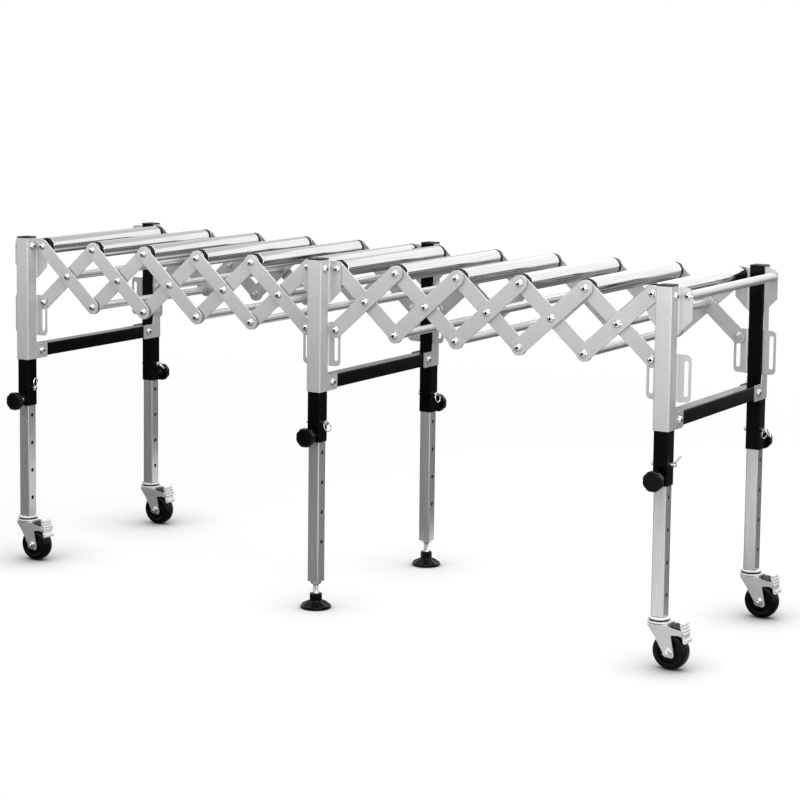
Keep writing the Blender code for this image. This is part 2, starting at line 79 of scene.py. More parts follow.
scene = bpy.context.scene
scene.view_settings.view_transform = "Standard"
camera_data = bpy.data.cameras.new("camera")
camera_data.sensor_width = 36
camera_data.lens = 99.38
camera_data.shift_y = -0.1661
camera = bpy.data.objects.new("camera", camera_data)
scene.collection.objects.link(camera)
camera.matrix_world = (at(*CAMERA_PLACE) @ turned(CAMERA_YAW, "Z") @ turned(90 - CAMERA_DOWN, "X")
                       @ turned(CAMERA_ROLL, "Z"))
scene.camera = camera
print("camera at", CAMERA_PLACE)

# %% [markdown]
# ## A white floor that keeps its shadow
#
# The photograph has no horizon: floor and wall are the same white. A floor that is lit until it is white would
# wash out the conveyor as well. So the floor is a dark paper with light of its own, and more of it far away,
# where the lamps don't reach. Under wheels and feet that light is held back by ambient occlusion, which leaves
# the small soft shadows of the photograph. The camera and glass see all of the light. Polished metal sees it far
# away but little of it near by, and so the rollers keep the dark band that they show below. Two round patches
# are the exception, one in front on the right and one behind the left section: the legs mirror them, and so
# get their bright faces.

# %% Which rays see the background
def combined(tree, operation, first, second):
    """A Math node on two sockets, or on a socket and a number."""
    node = tree.nodes.new("ShaderNodeMath")
    node.operation = operation
    tree.links.new(first, node.inputs[0])
    if isinstance(second, float):
        node.inputs[1].default_value = second
    else:
        tree.links.new(second, node.inputs[1])
    return node.outputs["Value"]


def seen_by(tree, share=None):
    """1 for camera, transmission and glossy rays; a share, if given, weakens it for glossy rays."""
    rays = tree.nodes.new("ShaderNodeLightPath")
    seen = rays.outputs["Is Glossy Ray"]
    if share is not None:
        seen = combined(tree, "MULTIPLY", seen, share)
    for ray in ("Camera", "Transmission"):
        seen = combined(tree, "MAXIMUM", seen, rays.outputs[f"Is {ray} Ray"])
    return seen


def show(tree, seen, plain, bright, output):
    """Give the bright shader to the rays that see it, and the plain one to all others."""
    choose = tree.nodes.new("ShaderNodeMixShader")
    tree.links.new(seen, choose.inputs["Fac"])
    tree.links.new(plain, choose.inputs[1])
    tree.links.new(bright, choose.inputs[2])
    tree.links.new(choose.outputs["Shader"], tree.nodes[output].inputs["Surface"])


# %% Floor sheet
FLOOR_SIZE = 60
FLOOR_Z = -0.0003
floor_shape = bmesh.new()
bmesh.ops.create_grid(floor_shape, x_segments=1, y_segments=1, size=FLOOR_SIZE)
bmesh.ops.translate(floor_shape, verts=floor_shape.verts, vec=(0, 0, FLOOR_Z))
floor_mesh = bpy.data.meshes.new("floor")
floor_shape.to_mesh(floor_mesh)
floor_shape.free()
floor = bpy.data.objects.new("floor", floor_mesh)
scene.collection.objects.link(floor)
print("floor", 2 * FLOOR_SIZE, "m wide")

# %% Distances on the floor
def distance(tree, x, y):
    """How far a point of the floor lies from a place on it."""
    here = tree.nodes.new("ShaderNodeTexCoord")
    node = tree.nodes.new("ShaderNodeVectorMath")
    node.operation = "DISTANCE"
    node.inputs[1].default_value = (x, y, 0)
    tree.links.new(here.outputs["Object"], node.inputs[0])
    return node.outputs["Value"]


def ranged(tree, value, start, end, low, high):
    """Carries a value from one range to another."""
    node = tree.nodes.new("ShaderNodeMapRange")
    for name, number in (("From Min", start), ("From Max", end), ("To Min", low), ("To Max", high)):
        node.inputs[name].default_value = number
    tree.links.new(value, node.inputs["Value"])
    return node.outputs["Result"]


# %% Floor paint
PAPER_GREY = 0.20
SHADOW_REACH = 0.20
SHADOW_DEPTH = 2.2
GLOW_RISE = (1.2, 5.0)
GLOW = (0.83, 0.99)
MIRROR_RISE = (3.0, 7.0)
MIRROR_LOW = 0.02
LIT_PATCHES = [(1.4, -1.6, 1.5), (-0.25, 0.5, 0.45)]
PATCH_EDGE = (0.85, 1.25)

floor_paint = bpy.data.materials.new("floor_paint")
floor_paint.use_nodes = True
tree = floor_paint.node_tree
tree.nodes.remove(tree.nodes["Principled BSDF"])
paper = tree.nodes.new("ShaderNodeBsdfDiffuse")
paper.inputs["Color"].default_value = (PAPER_GREY, PAPER_GREY, PAPER_GREY, 1)
contact = tree.nodes.new("ShaderNodeAmbientOcclusion")
contact.samples = 16
contact.inputs["Distance"].default_value = SHADOW_REACH
shaded = combined(tree, "POWER", contact.outputs["AO"], SHADOW_DEPTH)
away = distance(tree, 0, 0)
strength = combined(tree, "MULTIPLY", ranged(tree, away, *GLOW_RISE, *GLOW), shaded)
glow = tree.nodes.new("ShaderNodeEmission")
lifted = tree.nodes.new("ShaderNodeAddShader")
tree.links.new(strength, glow.inputs["Strength"])
tree.links.new(paper.outputs["BSDF"], lifted.inputs[0])
tree.links.new(glow.outputs["Emission"], lifted.inputs[1])
mirrored = ranged(tree, away, *MIRROR_RISE, MIRROR_LOW, 1)
for x, y, radius in LIT_PATCHES:
    inside, outside = (radius * share for share in PATCH_EDGE)
    patch = ranged(tree, distance(tree, x, y), inside, outside, 1, MIRROR_LOW)
    mirrored = combined(tree, "MAXIMUM", mirrored, patch)
show(tree, seen_by(tree, mirrored), paper.outputs["BSDF"], lifted.outputs["Shader"], "Material Output")
floor_mesh.materials.append(floor_paint)
print("floor paint with", len(LIT_PATCHES), "lit patches")

# %% [markdown]
# ## Soft light
#
# Large area lights stand where a studio has its softboxes. A big one hangs overhead. Two low, wide ones stand
# close in front, one before each section, so that the near side of the lattice is brighter than what lies
# behind it. An upright panel behind is what the tops of the rollers reflect, and a narrow strip on the right
# draws a bright line down every fold and corner. The world is white where the camera, metal or glass looks at
# it, and a dark grey where it only fills the shadows.

# %% World
FILL = 0.14
world = bpy.data.worlds.new("studio")
scene.world = world
world.use_nodes = True
tree = world.node_tree
fill = tree.nodes["Background"]
white = tree.nodes.new("ShaderNodeBackground")
for background, strength in ((fill, FILL), (white, 1)):
    background.inputs["Color"].default_value = (1, 1, 1, 1)
    background.inputs["Strength"].default_value = strength
show(tree, seen_by(tree), fill.outputs["Background"], white.outputs["Background"], "World Output")
print("world fills with", FILL)

# %% Softboxes
def softbox(name, place, aim, width, height, power):
    """A rectangular area light that faces a point, and that the camera doesn't see."""
    data = bpy.data.lights.new(name, "AREA")
    data.shape = "RECTANGLE"
    data.size = width
    data.size_y = height
    data.energy = power
    lamp = bpy.data.objects.new(name, data)
    backwards = Vector(place) - Vector(aim)
    lamp.matrix_world = at(*place) @ backwards.to_track_quat("Z", "Y").to_matrix().to_4x4()
    scene.collection.objects.link(lamp)
    lamp.visible_camera = False


softbox("top_light", (0.9, 0.0, 3.1), (0.1, 0, 0.6), 3.6, 2.6, 105)
softbox("right_front_light", (0.95, -1.25, 1.0), (0.95, 0, 0.65), 1.1, 0.5, 10.0)
softbox("left_front_light", (-0.95, -1.25, 1.0), (-0.95, 0, 0.65), 1.1, 0.5, 7.6)
softbox("back_light", (1.0, 2.0, 1.45), (1.0, 0, 1.45), 3.0, 1.5, 10)
softbox("strip_light", (3.4, -1.6, 0.9), (0, 0, 0.5), 0.4, 1.8, 24)

# %% [markdown]
# ## How a finish is made
#
# No painted or plated metal is one flat colour. All finishes here share one recipe: fine noise in the piece's
# own coordinates shades the colour between two greys and raises a very low bump, and broad noise varies the
# gloss. Stretching the coordinates along one axis turns the noise into drawing or polishing streaks. The bright
# edges need no paint: every sheet and tube has real bevels and folds, which catch the lights.

# %% The recipe
NOISE_SPAN = (0.3, 0.7)
BROADER = 14


def noise(tree, scale, stretch, detail):
    """Noise in object coordinates; stretch squeezes it along the axes."""
    place = tree.nodes.new("ShaderNodeTexCoord")
    mapping = tree.nodes.new("ShaderNodeMapping")
    mapping.inputs["Scale"].default_value = stretch
    texture = tree.nodes.new("ShaderNodeTexNoise")
    texture.inputs["Scale"].default_value = scale
    texture.inputs["Detail"].default_value = detail
    tree.links.new(place.outputs["Object"], mapping.inputs["Vector"])
    tree.links.new(mapping.outputs["Vector"], texture.inputs["Vector"])
    return texture.outputs["Fac"]


def finish(name, slot, dark, light, rough, metallic, scale, relief, stretch=(1, 1, 1), gloss=0.5):
    """A Principled material with shaded grey, uneven gloss and fine relief."""
    material = bpy.data.materials.new(name)
    material.use_nodes = True
    material["slot"] = slot
    tree = material.node_tree
    shader = tree.nodes["Principled BSDF"]
    shader.inputs["Metallic"].default_value = metallic
    shader.inputs["Specular IOR Level"].default_value = gloss
    fine = noise(tree, scale, stretch, detail=4)
    broad = noise(tree, scale / BROADER, stretch, detail=2)
    shade = tree.nodes.new("ShaderNodeMix")
    shade.data_type = "RGBA"
    shade.inputs["A"].default_value = (dark, dark, dark, 1)
    shade.inputs["B"].default_value = (light, light, light, 1)
    tree.links.new(ranged(tree, fine, *NOISE_SPAN, 0, 1), shade.inputs["Factor"])
    tree.links.new(shade.outputs["Result"], shader.inputs["Base Color"])
    tree.links.new(ranged(tree, broad, *NOISE_SPAN, *rough), shader.inputs["Roughness"])
    bump = tree.nodes.new("ShaderNodeBump")
    bump.inputs["Distance"].default_value = relief
    tree.links.new(fine, bump.inputs["Height"])
    tree.links.new(bump.outputs["Normal"], shader.inputs["Normal"])
    return material


# %% [markdown]
# ## The finishes
#
# The links, brackets and handle bars have a satin silver coat with fine flake. The rollers are polished tube,
# with streaks along their length. The legs are galvanised tube, drawn along Z, and the ties are drawn tube with
# streaks along Y. Forks are pressed and zinc plated, and bolts are a brighter zinc. Posts and crossbars have a
# glossy black coat with a slight orange peel. Caps, plugs, spacers and brake shoes are a matt black plastic,
# and so is the ring in the race's neck, which is painted shade; the black of the wide spacers and of the shoes
# also paints the shade in their gaps. Knobs and feet are a glossier moulded plastic. The wheels are a smooth
# black, and the swivel races and brake pedals have a pale coat.

# %% All finishes
COAT = finish("silver_coat", "silver_coat", 0.525, 0.555, (0.26, 0.34), 0.25, 160, 8e-6)
POLISHED = finish("polished_tube", "roller_steel", 0.46, 0.54, (0.08, 0.17), 1.0, 420, 1e-5, stretch=(1, 0.02, 1))
GALVANISED = finish("galvanised_tube", "zinc_plate", 0.52, 0.62, (0.16, 0.26), 0.75, 300, 3e-5,
                    stretch=(1, 1, 0.04))
DRAWN = finish("drawn_tube", "zinc_plate", 0.52, 0.60, (0.32, 0.42), 0.9, 300, 1e-5, stretch=(1, 0.03, 1))
ZINC = finish("pressed_zinc", "zinc_plate", 0.55, 0.62, (0.26, 0.38), 0.45, 200, 1e-5)
BOLT_ZINC = finish("bolt_zinc", "zinc_plate", 0.54, 0.66, (0.16, 0.26), 1.0, 900, 2e-5)
BLACK_COAT = finish("black_coat", "black_coat", 0.0010, 0.0022, (0.14, 0.24), 0.0, 260, 5e-5, gloss=0.07)
PLASTIC = finish("black_plastic", "black_plastic", 0.0015, 0.0045, (0.40, 0.55), 0.0, 900, 6e-5, gloss=0.12)
MOULDED = finish("moulded_plastic", "black_plastic", 0.0015, 0.0045, (0.14, 0.22), 0.0, 900, 2e-5, gloss=0.12)
WHEEL = finish("black_wheel", "black_rubber", 0.0012, 0.0035, (0.10, 0.18), 0.0, 380, 2e-5, gloss=0.12)
PALE = finish("pale_coat", "zinc_plate", 0.76, 0.86, (0.26, 0.38), 0.1, 400, 4e-5)
print("finishes", [material.name for material in bpy.data.materials if "slot" in material])

# %% [markdown]
# ## Shapes from a few operators
#
# Nearly everything on the conveyor is turned, cut from sheet, or a square tube. So a few helpers are enough: one
# spins a line round Z, one gives a flat face a thickness, one eases sharp edges with a bevel, and one hollows
# a box into a tube. Others copy meshes into place, join them and drill holes.

# %% Turned shapes
def healed(shape):
    """Merge doubled points, and point all faces outwards."""
    bmesh.ops.remove_doubles(shape, verts=shape.verts, dist=1e-6)
    bmesh.ops.recalc_face_normals(shape, faces=shape.faces)
    return shape


def spun(shape, geom, steps):
    """Sweep a line once round Z."""
    bmesh.ops.spin(shape, geom=geom, cent=(0, 0, 0), axis=(0, 0, 1), angle=2 * math.pi, steps=steps,
                   use_merge=True)
    return healed(shape)


def lathe(profile, steps=32, ring=False):
    """Spin a line of (radius, height) points; a ring's line is closed."""
    shape = bmesh.new()
    line = [shape.verts.new((radius, 0, height)) for radius, height in profile]
    following = line[1:] + line[:1] if ring else line[1:]
    edges = [shape.edges.new(pair) for pair in zip(line, following)]
    return spun(shape, line + edges, steps)


def both_halves(half):
    """A ring's line from its half on one side of z = 0."""
    return half + [(radius, -height) for radius, height in reversed(half)]


# %% Shapes cut from sheet
SHARP = 0.9


def bevelled(shape, geom, width, segments, affect="EDGES"):
    """Blender's bevel with a round profile."""
    bmesh.ops.bevel(shape, geom=geom, offset=width, segments=segments, profile=0.5, affect=affect, material=-1)
    return shape


def sharp_edges(shape):
    """Edges that turn by more than about 50 degrees."""
    return [edge for edge in shape.edges if edge.calc_face_angle(0) > SHARP]


def eased(shape, width):
    """Bevel the sharp edges."""
    return bevelled(shape, sharp_edges(shape), width, 2)


def flat(points, corners=(), radius=0.0):
    """One face in XY, with the listed corners rounded."""
    shape = bmesh.new()
    verts = [shape.verts.new((x, y, 0)) for x, y in points]
    shape.faces.new(verts)
    return bevelled(shape, [verts[index] for index in corners], radius, 5, "VERTICES")


def slab(shape, thickness, edge):
    """Give a face in XY a thickness along Z, and ease its edges."""
    grown = bmesh.ops.extrude_face_region(shape, geom=shape.faces[:])
    top = [item for item in grown["geom"] if isinstance(item, bmesh.types.BMVert)]
    bmesh.ops.translate(shape, verts=top, vec=(0, 0, thickness))
    bmesh.ops.recalc_face_normals(shape, faces=shape.faces)
    return eased(shape, edge)


# %% Boxes and tubes
def box(width, depth, low, high):
    """A box round the Z axis, from one height to another."""
    shape = bmesh.new()
    bmesh.ops.create_cube(shape, size=1)
    bmesh.ops.scale(shape, vec=(width, depth, high - low), verts=shape.verts)
    bmesh.ops.translate(shape, vec=(0, 0, (low + high) / 2), verts=shape.verts)
    return shape


def block(width, depth, height, edge):
    """A box round the origin with eased edges."""
    return eased(box(width, depth, -height / 2, height / 2), edge)


def tube(width, depth, low, high, wall, corner):
    """A rectangular tube along Z with rounded corners and open ends."""
    shape = box(width, depth, low, high)
    shape.normal_update()
    ends = [face for face in shape.faces if abs(face.normal.z) > 0.5]
    bmesh.ops.delete(shape, geom=ends, context="FACES_ONLY")
    upright = [edge for edge in shape.edges if len(edge.link_faces) == 2]
    bevelled(shape, upright, corner, 5)
    bmesh.ops.solidify(shape, geom=shape.faces[:], thickness=wall)
    return shape


# %% Copies, joins and holes
def joined(*shapes):
    """Several meshes in one."""
    whole = bmesh.new()
    for shape in shapes:
        step = bpy.data.meshes.new("step")
        shape.to_mesh(step)
        shape.free()
        whole.from_mesh(step)
        bpy.data.meshes.remove(step)
    return whole


def placed(shape, *places):
    """Copies of a mesh, one for each matrix, in one mesh."""
    copies = []
    for place in places:
        copy = shape.copy()
        bmesh.ops.transform(copy, matrix=place, verts=copy.verts)
        copies.append(copy)
    return joined(*copies)


def drilled(shape, drills):
    """Cut one mesh out of another with a Boolean."""
    objects = []
    for name, part in (("blank", shape), ("drills", drills)):
        mesh = bpy.data.meshes.new(name)
        part.to_mesh(mesh)
        part.free()
        objects.append(bpy.data.objects.new(name, mesh))
        scene.collection.objects.link(objects[-1])
    blank, tool = objects
    cut = blank.modifiers.new("cut", "BOOLEAN")
    cut.object = tool
    cut.solver = "EXACT"
    result = bmesh.new()
    result.from_object(blank, bpy.context.evaluated_depsgraph_get())
    for item in objects:
        mesh = item.data
        bpy.data.objects.remove(item)
        bpy.data.meshes.remove(mesh)
    return result


# %% A piece on its body
SMOOTH_BELOW = math.radians(33)


def piece(name, shape, material, body, node=None):
    """Make the mesh an object that moves with a body and stands for a CAD node."""
    healed(shape)
    if shape.calc_volume(signed=True) < 0:  # a thin folded sheet can come out inside out
        bmesh.ops.reverse_faces(shape, faces=shape.faces)
    mesh = bpy.data.meshes.new(name)
    shape.to_mesh(mesh)
    shape.free()
    mesh.shade_smooth()
    mesh.set_sharp_from_angle(angle=SMOOTH_BELOW)
    mesh.materials.append(material)
    made = bpy.data.objects.new(name, mesh)
    scene.collection.objects.link(made)
    even = made.modifiers.new("even", "WEIGHTED_NORMAL")
    even.keep_sharp = True
    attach(made, body)
    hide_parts(node or body)
    return made


# %% [markdown]
# ## Where everything is
#
# All pivots lie on one grid. A link's holes are 200 mm apart and it stands at 41.6 degrees, which gives the
# pitch of the rollers and the depth of the lattice. Looking outwards from the middle plane come the roller, the
# falling link, the bracket's ear and the rising link.

# %% The grid
LEVEL = 0.748
LINK_LENGTH = 0.200
REST_ANGLE = math.radians(41.6)
FOLDED_ANGLE = math.radians(77.8)
PITCH = LINK_LENGTH * math.cos(REST_ANGLE)
DEPTH = LINK_LENGTH * math.sin(REST_ANGLE)
FOLDED_DEPTH = LINK_LENGTH * math.sin(FOLDED_ANGLE)
CROSSINGS = 5
TOP, CROSSING, BOTTOM = range(3)
OFFSET = 0.0377

foot_low, foot_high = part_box("middle_near_foot")
MIDDLE_X = (foot_low.x + foot_high.x) / 2
SPACING = 2 * OFFSET + CROSSINGS * PITCH
FRAMES = {"left": MIDDLE_X - SPACING, "middle": MIDDLE_X, "right": MIDDLE_X + SPACING}
SECTIONS = {"left": -1, "right": 1}


def pivot(way, row, index):
    """A pivot of the lattice in its top, crossing or bottom row."""
    x = MIDDLE_X + way * (OFFSET + (index - 1 + (0.5 if row == CROSSING else 0)) * PITCH)
    return Vector((x, 0, LEVEL - row * DEPTH / 2))


print("pitch", round(PITCH, 4), "depth", round(DEPTH, 4), "frames at", FRAMES)

# %% Layers and sides
FALLING_Y = 0.2165
EAR_Y = 0.2203
RISING_Y = 0.2231
LINK_THICKNESS = 0.003
SHEET = 0.002
EAR_FACE = EAR_Y + SHEET
RISING_FACE = RISING_Y + LINK_THICKNESS
POST_Y = 0.2368
POST_SIZE = 0.032
POST_FACE = POST_Y + POST_SIZE / 2
SIDES = {"near": -1, "far": 1}
OUTWARDS = {"near": turned(90, "X"), "far": turned(-90, "X")}
INWARDS = {"near": turned(-90, "X"), "far": turned(90, "X")}
ALONG_X = turned(90, "Y")
AGAINST_X = turned(-90, "Y")
UPRIGHT = turned(90, "X")


def on_both_sides(shape, y, turns, *points):
    """Copies of a fastener at every pivot, near and far."""
    spots = [(point, side) for point in points for side in SIDES]
    return placed(shape, *(at(point.x, SIDES[side] * y, point.z) @ turns[side] for point, side in spots))


print("layers at", FALLING_Y, EAR_Y, RISING_Y, "posts at", POST_Y)

# %% [markdown]
# ## Bolts, nuts and spacers
#
# Every pivot shows a button-head bolt with a hexagon socket on a washer. The dome is spun, the socket's
# hexagon is bridged to the dome's open top, and its walls are extruded down. Where no tie tube takes the bolt,
# a nut sits on the inner face. A black spacer keeps two links apart. It is made wide, so that its black also
# paints the shade in the gap between the two links.

# %% Washer and bolt
WASHER = 0.0012
HEAD_TOP = WASHER + 0.0044
SOCKET_DEPTH = 0.0026


def washer(bore, radius):
    """A flat ring with eased rims, standing on z = 0."""
    ease = WASHER / 4
    line = [(bore, 0), (radius - ease, 0), (radius, ease), (radius, WASHER - ease), (radius - ease, WASHER)]
    return lathe(line + [(bore, WASHER)], 24, ring=True)


def button_bolt():
    """A washer and a domed head with a hexagon socket, standing on z = 0."""
    low = WASHER
    dome = [(0, low), (0.0074, low), (0.0077, low + 0.0008), (0.0071, low + 0.0024), (0.0056, low + 0.0038)]
    head = lathe(dome + [(0.0036, HEAD_TOP)], 24)
    rim = [edge for edge in head.edges if len(edge.link_faces) == 1]
    hexagon = bmesh.ops.create_circle(head, segments=6, radius=0.0029, matrix=at(z=HEAD_TOP))
    walls = list({edge for vert in hexagon["verts"] for edge in vert.link_edges})
    bmesh.ops.bridge_loops(head, edges=rim + walls)
    walls = [edge for edge in head.edges if len(edge.link_faces) == 1]
    sunk = bmesh.ops.extrude_edge_only(head, edges=walls)
    deep = [item for item in sunk["geom"] if isinstance(item, bmesh.types.BMVert)]
    bmesh.ops.translate(head, verts=deep, vec=(0, 0, -SOCKET_DEPTH))
    bmesh.ops.holes_fill(head, edges=head.edges[:], sides=6)
    return joined(washer(0.0042, 0.0088), healed(head))


BOLT = button_bolt()
print("bolt faces", len(BOLT.faces))

# %% Nut and spacer
def hexagon_block(across, height, edge):
    """A hexagon bar's end, standing on z = 0."""
    shape = bmesh.new()
    bmesh.ops.create_circle(shape, cap_ends=True, segments=6, radius=across / math.sqrt(3))
    return slab(shape, height, edge)


def nut_and_tail():
    """A washer, a nut and the bolt's end, standing on z = 0."""
    tail = lathe([(0, WASHER), (0.0039, WASHER), (0.0039, 0.0088), (0.0032, 0.0095), (0, 0.0095)], 16)
    nut = placed(hexagon_block(0.013, 0.0062, 0.0005), at(z=WASHER))
    return joined(washer(0.0042, 0.0088), nut, tail)


def shading_spacer():
    """A plastic ring between two links, wide enough that its black also paints the shade in their gap."""
    bore, radius, ease, play = 0.0045, 0.0145, 0.0004, 0.0001
    gap = RISING_Y - FALLING_Y - LINK_THICKNESS
    low = play
    high = gap - play
    line = [(bore, low), (radius - ease, low), (radius, low + ease), (radius, high - ease)]
    return lathe(line + [(radius - ease, high), (bore, high)], 32, ring=True)


NUT = nut_and_tail()
SHADING_SPACER = shading_spacer()
print("nut faces", len(NUT.faces), "spacer faces", len(SHADING_SPACER.faces))

# %% [markdown]
# ## The links
#
# A link is a flat bar with round ends. A circle is cut in thought across its middle, and one half is moved
# along: the two edges that cross the cut stretch into the bar's straight sides. The slab helper then gives it
# 3 mm, and the bevel leaves the thin bright edge that the sheared and coated bar shows.

# %% One link, and a pair
LINK_WIDTH = 0.034
LINK_EASE = 0.0009


def link():
    """A bar along X with its first hole's centre at the origin."""
    shape = bmesh.new()
    segments = 40
    half_step = Matrix.Rotation(math.pi / segments, 4, "Z")
    bmesh.ops.create_circle(shape, cap_ends=True, segments=segments, radius=LINK_WIDTH / 2, matrix=half_step)
    far_half = [vert for vert in shape.verts if vert.co.x > 0]
    bmesh.ops.translate(shape, verts=far_half, vec=(LINK_LENGTH, 0, 0))
    return slab(shape, LINK_THICKNESS, LINK_EASE)


def link_pair(start, end, y):
    """A near and a far link from one pivot to another, with their thickness outwards from y."""
    run = (end - start).normalized()
    places = []
    for way in SIDES.values():
        out = Vector((0, way, 0))
        turn = Matrix((run, out.cross(run), out)).transposed().to_4x4()
        places.append(at(*(start + out * y)) @ turn)
    return placed(LINK, *places)


LINK = link()
print("link faces", len(LINK.faces))

# %% [markdown]
# ## Falling arms
#
# A falling arm is a near and a far link on the inner layer. Tie tubes join the two sides at some of the
# crossings and lower pivots, and keep the lattice square. The first arm also carries the first roller's axle,
# and the last one the bolts that run in the end frame's slots.

# %% Ties and axles
TIES = {1: (CROSSING, BOTTOM), 2: (BOTTOM,), 3: (CROSSING,), 4: (BOTTOM,), 5: (CROSSING,)}
TIE_RADIUS = 0.009
AXLE_RADIUS = 0.005
BAR_END = FALLING_Y - 0.0002


def bar(radius, end, ease):
    """A round bar along Y with eased ends, from -end to end."""
    line = [(0, -end), (radius - ease, -end), (radius, ease - end), (radius, end - ease), (radius - ease, end)]
    return placed(lathe(line + [(0, end)], 32), UPRIGHT)


TIE = bar(TIE_RADIUS, BAR_END, 0.0006)
AXLE = bar(AXLE_RADIUS, BAR_END, 0.0005)
print("tie faces", len(TIE.faces), "axle faces", len(AXLE.faces))

# %% Make the falling arms
for section, way in SECTIONS.items():
    for index in range(1, CROSSINGS + 1):
        body = f"{section}_falling_arm_{index}"
        start = pivot(way, TOP, index)
        end = pivot(way, BOTTOM, index + 1)
        tied = {CROSSING: pivot(way, CROSSING, index), BOTTOM: end}
        piece(f"{body}_links", link_pair(start, end, FALLING_Y), COAT, body)
        piece(f"{body}_ties", placed(TIE, *(at(*tied[row]) for row in TIES[index])), DRAWN, body)
        if index == 1:
            heads = on_both_sides(BOLT, EAR_FACE, OUTWARDS, start)
            piece(f"{body}_axle", joined(placed(AXLE, at(*start)), heads), BOLT_ZINC, body)
        if index == CROSSINGS:
            heads = on_both_sides(BOLT, EAR_FACE, OUTWARDS, end)
            nuts = on_both_sides(NUT, FALLING_Y, INWARDS, end)
            piece(f"{body}_bolts", joined(heads, nuts), BOLT_ZINC, body)
print("falling arms", len(SECTIONS) * CROSSINGS)

# %% [markdown]
# ## Rising arms
#
# A rising arm is a near and a far link on the outer layer. It carries the axle of the roller at its top, and
# the bolts at its crossing and its foot. The bolts turn with it, so they are pieces of the same body.

# %% Make the rising arms
for section, way in SECTIONS.items():
    for index in range(1, CROSSINGS + 1):
        body = f"{section}_rising_arm_{index}"
        foot = pivot(way, BOTTOM, index)
        middle = pivot(way, CROSSING, index)
        top = pivot(way, TOP, index + 1)
        piece(f"{body}_links", link_pair(foot, top, RISING_Y), COAT, body)
        metal = [on_both_sides(BOLT, RISING_FACE, OUTWARDS, foot, middle, top), placed(AXLE, at(*top))]
        untied = [] if CROSSING in TIES[index] else [(middle, FALLING_Y)]
        if index == 1:
            untied.append((foot, EAR_Y))
        elif BOTTOM not in TIES[index - 1]:
            untied.append((foot, FALLING_Y))
        metal += [on_both_sides(NUT, y, INWARDS, point) for point, y in untied]
        piece(f"{body}_bolts", joined(*metal), BOLT_ZINC, body)
        apart = [middle]
        apart += [foot] if index > 1 else []
        apart += [top] if index < CROSSINGS else []
        # The spacers keep the links apart, and their width and black paint the shade in the gap between them.
        rings = on_both_sides(SHADING_SPACER, FALLING_Y + LINK_THICKNESS, OUTWARDS, *apart)
        piece(f"{body}_shading_spacers", rings, PLASTIC, body)
print("rising arms", len(SECTIONS) * CROSSINGS)

# %% [markdown]
# ## Rollers
#
# A roller is a polished thin-walled tube with a black bearing cap pressed into each end, which stands out as a
# black ring. Both are spun from a closed line, so that the tube has a real wall and a rolled rim, and the cap has
# a raised lip and a hub.

# %% Tube and caps
ROLLER_RADIUS = 0.019
ROLLER_WALL = 0.0012
TUBE_END = 0.2045
CAP_END = 0.2150
CAP_DEPTH = 0.008
CAP_SUNK = CAP_END - 0.0009


def roller_tube():
    """A thin-walled tube along Y with rolled rims."""
    rim = [(ROLLER_RADIUS - 0.0005, -TUBE_END), (ROLLER_RADIUS, 0.0006 - TUBE_END)]
    line = both_halves([(ROLLER_RADIUS - ROLLER_WALL, -TUBE_END), *rim])
    return placed(lathe(line, 72, ring=True), UPRIGHT)


def roller_cap():
    """A bearing cap that closes the tube's upper end."""
    bore = AXLE_RADIUS + 0.0004
    plug = ROLLER_RADIUS - 0.0013
    lip = ROLLER_RADIUS - 0.0003
    line = [(bore, TUBE_END - CAP_DEPTH), (plug, TUBE_END - CAP_DEPTH), (plug, TUBE_END), (lip, TUBE_END)]
    line += [(lip, CAP_END - 0.0010), (lip - 0.0012, CAP_END), (0.0135, CAP_END), (0.0125, CAP_SUNK)]
    line += [(0.0088, CAP_SUNK), (0.0080, CAP_END), (bore, CAP_END)]
    return lathe(line, 48, ring=True)


ROLLER_TUBE = roller_tube()
ROLLER_CAPS = placed(roller_cap(), *OUTWARDS.values())
print("roller faces: tube", len(ROLLER_TUBE.faces), "caps", len(ROLLER_CAPS.faces))

# %% Make the rollers
for section, way in SECTIONS.items():
    for index in range(1, CROSSINGS + 2):
        body = f"{section}_roller_{index}"
        place = at(*pivot(way, TOP, index))
        piece(f"{body}_tube", placed(ROLLER_TUBE, place), POLISHED, body)
        piece(f"{body}_caps", placed(ROLLER_CAPS, place), PLASTIC, body)
print("rollers", len(SECTIONS) * (CROSSINGS + 1))

# %% [markdown]
# ## Folded brackets
#
# Each post is clad by one sheet of steel, folded round three of its sides. Its edges turn out into two upper
# ears, which hold pivots, and two lower ears with slots, and at the bottom they run on along the crossbar. Made
# as solid blocks, it would lose its bend lines. So half of it is laid out as flat panels that share their
# edges, mirrored, bevelled only along the folds, and then given its thickness.

# %% Sizes of the bracket, with heights from the roller axes
WEB_Y = 0.2547
FLANGE_X = 0.0179
BRACKET_TOP = 0.0195
BRACKET_BOTTOM = -0.268
EAR_X = 0.048
EAR_TOP = 0.0168
EAR_LOW = -0.0475
EAR_END = EAR_LOW - (EAR_X - FLANGE_X)
EAR_ROUND = 0.014
SLOT_EAR_TOP = -0.1164
SLOT_EAR_BOTTOM = -0.2119
SLOT_EAR_ROUND = 0.010
SLOT_HALF = 0.0049
GRIP_Y = 0.1853
GRIP_TOP = -0.233
GRIP_ROUND = 0.003
print("bracket height", round(BRACKET_TOP - BRACKET_BOTTOM, 4))

# %% Panels of the bracket
def oblong(left, right, first, last, corners=(), radius=0.0):
    """A flat panel between two places in x and two in y."""
    return flat([(left, first), (right, first), (right, last), (left, last)], corners, radius)


